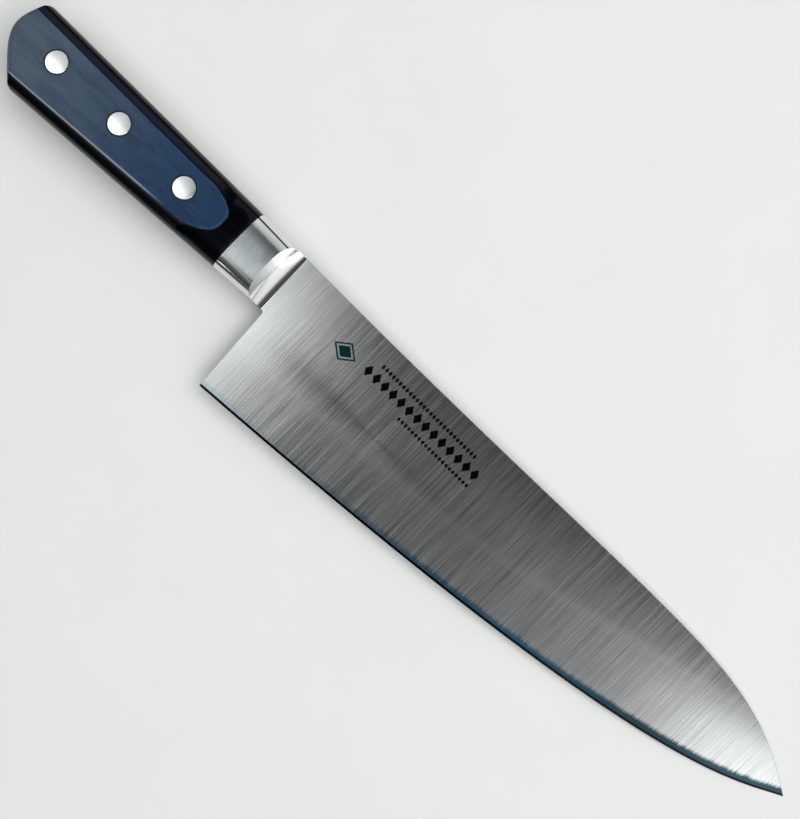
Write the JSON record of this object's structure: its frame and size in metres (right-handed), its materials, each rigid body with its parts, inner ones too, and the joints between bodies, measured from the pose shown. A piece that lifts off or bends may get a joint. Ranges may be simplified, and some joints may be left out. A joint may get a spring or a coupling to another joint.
{
  "type": "chef knife",
  "caption": "Chef knife with a wide curved blade, full tang, welded bolster and flat-sided riveted handle scales.",
  "frame": {"origin": "on the handle's lower flat, on the rivet line, between the middle and the front rivet", "axes": "+X along the rivet line from the handle to the tip, +Y from the cutting edge to the spine, +Z out of the knife's right side"},
  "size_m": [0.3672, 0.0577, 0.018],
  "materials": {
    "blade_steel": "satin, ground across the blade",
    "bolster_steel": "brushed flat with polished sides and cove",
    "handle_wood": "blue-black resin-laminated wood, buffed",
    "rivet_steel": "ground flush and buffed"
  },
  "bodies": {
    "root": {"blade": "blade_steel", "bolster_right": "bolster_steel", "bolster_left": "bolster_steel", "scale_right": "handle_wood", "scale_left": "handle_wood", "rivet_socket_rear": "rivet_steel", "rivet_socket_middle": "rivet_steel", "rivet_socket_front": "rivet_steel", "rivet_pin_rear": "rivet_steel", "rivet_pin_middle": "rivet_steel", "rivet_pin_front": "rivet_steel"}
  },
  "joints": []
}
